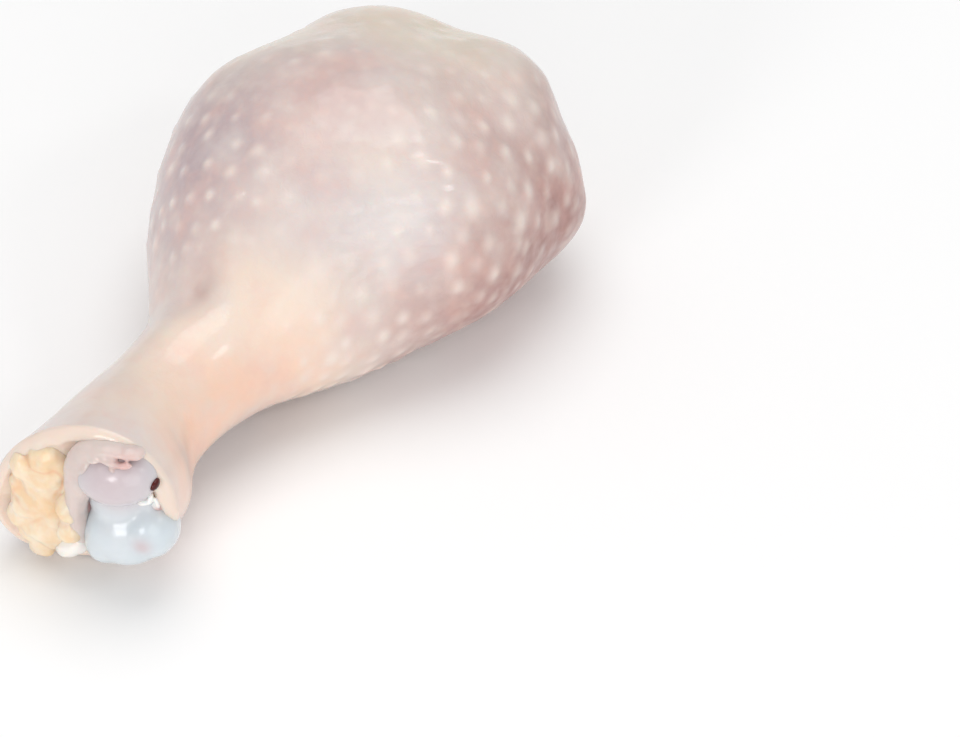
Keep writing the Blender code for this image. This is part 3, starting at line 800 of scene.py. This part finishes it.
def wet_gristle(settings):
    """Joint cartilage: bluish white, smooth and wet, a little see-through."""
    constants = {
        "Roughness": 0.26,
        "IOR": 1.42,
        "Subsurface Weight": 0.4,
        "Subsurface Radius": (0.6, 0.6, 0.7),
        "Subsurface Scale": 0.002,
        "Coat Weight": 0.5,
        "Coat Roughness": 0.2,
    }
    material, tree, shader = started("Wet joint gristle", constants)
    place = add(tree, "ShaderNodeTexCoord").outputs["Object"]
    # Clouds of whiter gristle 6 mm across, and a swell of its surface of 2.4 mm.
    pair = ((*settings.gristle_colour, 1.0), linear("#DADEE2"))
    band = {"From Min": 0.4, "From Max": 0.7, "To Max": 0.8}
    colour = mottled(tree, place, {"Scale": 160.0, "Detail": 2.0}, band, pair)
    colour = layered(tree, colour, linear("#CDBDC0"), "rosy")
    tree.links.new(colour, shader.inputs["Base Color"])
    swell = add(tree, "ShaderNodeTexNoise", [("Vector", place)], [("Scale", 420.0), ("Detail", 2.0)])
    values = [("Strength", 0.4), ("Distance", 0.0003)]
    bump = add(tree, "ShaderNodeBump", [("Height", swell.outputs[0])], values)
    tree.links.new(bump.outputs[0], shader.inputs["Normal"])
    return material


def soft_fat(settings):
    """Raw chicken fat: pale yellow to peach, in soft lumps with deeper orange in its creases."""
    constants = {
        "Roughness": 0.38,
        "IOR": 1.45,
        "Subsurface Weight": 0.4,
        "Subsurface Radius": (1.0, 0.6, 0.3),
        "Subsurface Scale": 0.002,
        "Coat Weight": 0.3,
        "Coat Roughness": 0.15,
    }
    material, tree, shader = started("Soft chicken fat", constants)
    place = add(tree, "ShaderNodeTexCoord").outputs["Object"]
    # Paler clouds 4 mm across, and a grain of fat cells drawn at 1 mm.
    pair = ((*settings.fat_colour, 1.0), linear("#F1E2CC"))
    pattern = {"Scale": 260.0, "Detail": 3.0, "Roughness": 0.6}
    colour = mottled(tree, place, pattern, {"From Min": 0.35, "From Max": 0.65}, pair)
    colour = layered(tree, colour, linear("#EBBD98"), "crease")
    tree.links.new(colour, shader.inputs["Base Color"])
    grain = add(tree, "ShaderNodeTexNoise", [("Vector", place)], [("Scale", 900.0), ("Detail", 3.0)])
    values = [("Strength", 0.5), ("Distance", 0.0002)]
    bump = add(tree, "ShaderNodeBump", [("Height", grain.outputs[0])], values)
    tree.links.new(bump.outputs[0], shader.inputs["Normal"])
    return material


def moist_membrane(settings):
    """Tendon sheath: a moist pinkish white membrane with fine fibres in it."""
    constants = {
        "Roughness": 0.34,
        "IOR": 1.42,
        "Subsurface Weight": 0.4,
        "Subsurface Radius": (1.0, 0.6, 0.45),
        "Subsurface Scale": 0.0018,
        "Coat Weight": 0.35,
        "Coat Roughness": 0.15,
    }
    material, tree, shader = started("Moist tendon membrane", constants)
    place = add(tree, "ShaderNodeTexCoord").outputs["Object"]
    # Pinker clouds 4.5 mm across, and fibres 0.8 mm wide and 3 mm long.
    pair = ((*settings.sheath_colour, 1.0), linear("#D3C0BA"))
    band = {"From Min": 0.4, "From Max": 0.65, "To Max": 0.7}
    colour = mottled(tree, place, {"Scale": 220.0, "Detail": 3.0}, band, pair)
    colour = layered(tree, colour, linear("#D9ABA8"), "rosy")
    colour = layered(tree, colour, linear("#FAF7F2"), "pale")
    tree.links.new(colour, shader.inputs["Base Color"])
    stretch = add(tree, "ShaderNodeMapping", [("Vector", place)], [("Scale", (1.0, 1.0, 0.25))])
    values = [("Scale", 1300.0), ("Detail", 2.0)]
    fibre = add(tree, "ShaderNodeTexNoise", [("Vector", stretch.outputs[0])], values)
    values = [("Strength", 0.4), ("Distance", 0.00012)]
    bump = add(tree, "ShaderNodeBump", [("Height", fibre.outputs[0])], values)
    tree.links.new(bump.outputs[0], shader.inputs["Normal"])
    return material


def clotted_blood():
    """A drop of dark blood left in the joint."""
    material, tree, shader = started("Clotted blood", {"Roughness": 0.25, "IOR": 1.4})
    place = add(tree, "ShaderNodeTexCoord").outputs["Object"]
    # Darker clots 1.4 mm across.
    cloud = add(tree, "ShaderNodeTexNoise", [("Vector", place)], [("Scale", 700.0), ("Detail", 2.0)])
    values = [(6, linear("#5E1410")), (7, linear("#3A0A0A"))]
    mix = add(tree, "ShaderNodeMix", [(0, cloud.outputs[0])], values, data_type="RGBA")
    tree.links.new(mix.outputs[2], shader.inputs["Base Color"])
    return material


def matt_floor(settings):
    """Matt white studio paper, with the faint cloudiness of its pulp, 17 mm across."""
    constants = {"Roughness": 0.9, "Specular IOR Level": 0.1}
    material, tree, shader = started("Matt studio paper", constants)
    place = add(tree, "ShaderNodeTexCoord").outputs["Object"]
    pair = ((*settings.floor_colour, 1.0), linear("#F0F0F0"))
    colour = mottled(tree, place, {"Scale": 60.0, "Detail": 2.0}, {"To Max": 0.05}, pair)
    tree.links.new(colour, shader.inputs["Base Color"])
    return material


# Settings


class SkinSettings(bpy.types.PropertyGroup):
    follicle_height: FloatProperty(
        name="Follicle height",
        description="How far a feather follicle stands out, in mm",
        default=0.22,
        min=0.0,
        max=1.0,
    )
    follicle_radius: FloatProperty(
        name="Follicle radius",
        description="Half width of a follicle's dome, in mm",
        default=1.05,
        min=0.4,
        max=2.0,
    )
    skin_colour: FloatVectorProperty(
        name="Skin",
        description="Pale colour of the skin",
        subtype="COLOR",
        default=linear("#DDD0CA")[:3],
        min=0.0,
        max=1.0,
    )
    skin_pink: FloatVectorProperty(
        name="Pink of the skin",
        description="Colour where more flesh shows through",
        subtype="COLOR",
        default=linear("#D2BFBB")[:3],
        min=0.0,
        max=1.0,
    )
    follicle_colour: FloatVectorProperty(
        name="Follicle",
        description="Colour of the plug in a follicle",
        subtype="COLOR",
        default=linear("#EFE3DA")[:3],
        min=0.0,
        max=1.0,
    )


class CutSettings(bpy.types.PropertyGroup):
    gristle_colour: FloatVectorProperty(
        name="Gristle",
        description="Colour of the gristle on the knuckle",
        subtype="COLOR",
        default=linear("#D2DBE0")[:3],
        min=0.0,
        max=1.0,
    )
    fat_colour: FloatVectorProperty(
        name="Fat",
        description="Deep colour of the fat",
        subtype="COLOR",
        default=linear("#EECFA9")[:3],
        min=0.0,
        max=1.0,
    )
    sheath_colour: FloatVectorProperty(
        name="Sheath",
        description="Pale colour of the tendon sheath",
        subtype="COLOR",
        default=linear("#D8C9C3")[:3],
        min=0.0,
        max=1.0,
    )
    drop_size: FloatProperty(
        name="Blood drop",
        description="Half width of the blood drop, in mm",
        default=1.2,
        min=0.3,
        max=3.0,
    )


class StudioSettings(bpy.types.PropertyGroup):
    light_power: FloatProperty(
        name="Light",
        description="Power that each lamp takes its own multiple of",
        default=1.0,
        min=0.0,
        unit="POWER",
    )
    floor_colour: FloatVectorProperty(
        name="Floor",
        description="Colour of the studio paper",
        subtype="COLOR",
        default=linear("#FCFCFC")[:3],
        min=0.0,
        max=1.0,
    )


# Studio


def lay_floor(settings):
    """A sheet of paper a hair below the leg, so that the two never share a plane."""
    corners = [(x * FLOOR_HALF, y * FLOOR_HALF, 0.0) for x, y in ((-1, -1), (1, -1), (1, 1), (-1, 1))]
    mesh = bpy.data.meshes.new("studio_floor")
    mesh.from_pydata(corners, [], [(0, 1, 2, 3)])
    mesh.materials.append(matt_floor(settings))
    floor = bpy.data.objects.new("studio_floor", mesh)
    floor.location.z = -FLOOR_DROP
    bpy.context.scene.collection.objects.link(floor)


def hang_lights(power):
    """Round soft lights that face the leg, and an even white light from all round."""
    for name, way, width, share in LIGHTS:
        light = bpy.data.lights.new(name, "AREA")
        light.shape = "DISK"
        light.size = width
        light.energy = power * share
        place = Vector(way).normalized() * LIGHT_DISTANCE
        lamp = bpy.data.objects.new(name, light)
        lamp.location = place
        lamp.rotation_euler = place.to_track_quat("Z", "Y").to_euler()
        bpy.context.scene.collection.objects.link(lamp)
    world = bpy.data.worlds.new("studio_air")
    world.use_nodes = True
    air = world.node_tree.nodes["Background"]
    air.inputs["Color"].default_value = (1.0, 1.0, 1.0, 1.0)
    air.inputs["Strength"].default_value = AIR_STRENGTH
    bpy.context.scene.world = world


def place_camera():
    """The camera that the leg's outline was fitted with."""
    lens = bpy.data.cameras.new("photo_camera")
    lens.sensor_width = SENSOR
    lens.lens = FOCAL_PIXELS / IMAGE_WIDTH * SENSOR
    lens.clip_start, lens.clip_end = CLIP_START, CLIP_END
    level = math.cos(CAMERA_RISE)
    back = Vector((math.sin(CAMERA_TURN) * level, -math.cos(CAMERA_TURN) * level, math.sin(CAMERA_RISE)))
    camera = bpy.data.objects.new("photo_camera", lens)
    camera.location = (Vector(CAMERA_TARGET) + Vector(ORIGIN) + back * CAMERA_DISTANCE) * MM
    camera.rotation_euler = back.to_track_quat("Z", "Y").to_euler()
    bpy.context.scene.collection.objects.link(camera)
    bpy.context.scene.camera = camera


# Operators


class DRUMSTICK_OT_skin(bpy.types.Operator):
    """Build the skin with the meat under it"""

    bl_idname = "drumstick.skin"
    bl_label = "Skin and meat"

    def execute(self, context):
        settings = context.scene.drumstick_skin
        finish = plucked_skin(settings)
        new_object("skin_and_meat_dressed", skin_mesh(settings), finish, "skin_and_meat")
        return {"FINISHED"}


class DRUMSTICK_OT_knuckle(bpy.types.Operator):
    """Build the shin bone with the gristle on its knuckle"""

    bl_idname = "drumstick.knuckle"
    bl_label = "Knuckle and shin bone"

    def execute(self, context):
        places = [lobe(*each) for each in KNUCKLE_LOBES]
        mesh = fused("knuckle", places, voxel=0.4, passes=26, extra=shaft_mesh())
        points = mesh_points(mesh)
        displaced(mesh, rippled(points, KNUCKLE_RIPPLES))
        rosy = fade(points, in_cut(UPPER_CONDYLE), CONDYLE_REACH, 4)
        rosy += BRUISE_STRENGTH * fade(points, in_cut(BRUISE), BRUISE_RADIUS, 2)
        store(mesh, "rosy", rosy)
        new_object("knuckle", mesh, wet_gristle(context.scene.drumstick_cut), "shin_bone")
        return {"FINISHED"}


class DRUMSTICK_OT_fat(bpy.types.Operator):
    """Build the lumpy fat on the calf side of the cut"""

    bl_idname = "drumstick.fat"
    bl_label = "Ankle fat"

    def execute(self, context):
        mesh = fused("fat", fat_lobes(), voxel=0.26, passes=5)
        points = mesh_points(mesh)
        folds = np.abs(ripple(points, FAT_FOLD_SIZE, seed=11))
        between = FAT_FOLD_DEPTH * np.minimum(folds, FAT_FOLD_LIMIT) - FAT_SINK
        displaced(mesh, between + rippled(points, FAT_RIPPLES))
        patches = smooth_step(ripple(points, CREASE_PATCH, seed=13), CREASE_FROM, CREASE_FULL)
        store(mesh, "crease", CREASE_STRENGTH * (1.0 - smooth_step(folds, 0.0, CREASE_WIDTH)) * patches)
        new_object("fat", mesh, soft_fat(context.scene.drumstick_cut), "ankle_fat")
        return {"FINISHED"}


class DRUMSTICK_OT_sheath(bpy.types.Operator):
    """Build the tendon sheath between fat and knuckle"""

    bl_idname = "drumstick.sheath"
    bl_label = "Tendon sheath"

    def execute(self, context):
        mesh = fused("sheath", sheath_lobes(), voxel=0.28, passes=6)
        points = mesh_points(mesh)
        displaced(mesh, rippled(points, SHEATH_RIPPLES))
        store(mesh, "rosy", HOOD_END_STRENGTH * fade(points, in_cut(HOOD_END), HOOD_END_RADIUS, 2))
        store(mesh, "pale", fade(points, in_cut(SHEATH_STUB[0]), STUB_REACH, 4))
        new_object("sheath", mesh, moist_membrane(context.scene.drumstick_cut), "tendon_sheath")
        return {"FINISHED"}


class DRUMSTICK_OT_tissue(bpy.types.Operator):
    """Build the torn tissue in the clefts of the knuckle"""

    bl_idname = "drumstick.tissue"
    bl_label = "Torn tissue"

    def execute(self, context):
        mesh = fused("torn_tissue", [lobe(*place) for place in TORN_TISSUE], voxel=0.2, passes=2)
        points = mesh_points(mesh)
        displaced(mesh, rippled(points, TISSUE_RIPPLES))
        pale = fade(points, in_cut(TORN_LIGAMENT), LIGAMENT_REACH, 4)
        store(mesh, "pale", pale)
        store(mesh, "rosy", 1.0 - pale)
        new_object("torn_tissue", mesh, moist_membrane(context.scene.drumstick_cut))
        return {"FINISHED"}


class DRUMSTICK_OT_drop(bpy.types.Operator):
    """Build the drop of blood at the edge of the knuckle"""

    bl_idname = "drumstick.drop"
    bl_label = "Blood drop"

    def execute(self, context):
        radii = [share * context.scene.drumstick_cut.drop_size for share in DROP_SHARES]
        mesh = fused("blood_drop", [lobe(BLOOD_DROP, radii, DROP_ROLL)], voxel=0.2, passes=2)
        new_object("blood_drop", mesh, clotted_blood())
        return {"FINISHED"}


class DRUMSTICK_OT_studio(bpy.types.Operator):
    """Build the floor, the soft light and the camera"""

    bl_idname = "drumstick.studio"
    bl_label = "Studio"

    def execute(self, context):
        lay_floor(context.scene.drumstick_studio)
        hang_lights(context.scene.drumstick_studio.light_power)
        place_camera()
        context.scene.view_settings.view_transform = "Standard"
        return {"FINISHED"}


class DRUMSTICK_PT_panel(bpy.types.Panel):
    bl_idname = "DRUMSTICK_PT_panel"
    bl_label = "Raw chicken drumstick"
    bl_space_type = "VIEW_3D"
    bl_region_type = "UI"
    bl_category = "Drumstick"

    def draw(self, context):
        for group_name in GROUPS:
            group = getattr(context.scene, group_name)
            for name in group.__annotations__:
                self.layout.prop(group, name)
        for operator in OPERATORS:
            self.layout.operator(operator.bl_idname)


OPERATORS = (
    DRUMSTICK_OT_skin,
    DRUMSTICK_OT_knuckle,
    DRUMSTICK_OT_fat,
    DRUMSTICK_OT_sheath,
    DRUMSTICK_OT_tissue,
    DRUMSTICK_OT_drop,
    DRUMSTICK_OT_studio,
)
GROUPS = {"drumstick_skin": SkinSettings, "drumstick_cut": CutSettings, "drumstick_studio": StudioSettings}


def register():
    for each in (*GROUPS.values(), *OPERATORS, DRUMSTICK_PT_panel):
        bpy.utils.register_class(each)
    for name, group in GROUPS.items():
        setattr(bpy.types.Scene, name, PointerProperty(type=group))


def unregister():
    for name in GROUPS:
        delattr(bpy.types.Scene, name)
    for each in (DRUMSTICK_PT_panel, *reversed(OPERATORS), *GROUPS.values()):
        bpy.utils.unregister_class(each)


def main():
    register()
    bpy.ops.drumstick.skin()
    bpy.ops.drumstick.knuckle()
    bpy.ops.drumstick.fat()
    bpy.ops.drumstick.sheath()
    bpy.ops.drumstick.tissue()
    bpy.ops.drumstick.drop()
    bpy.ops.drumstick.studio()


if __name__ == "__main__":
    main()
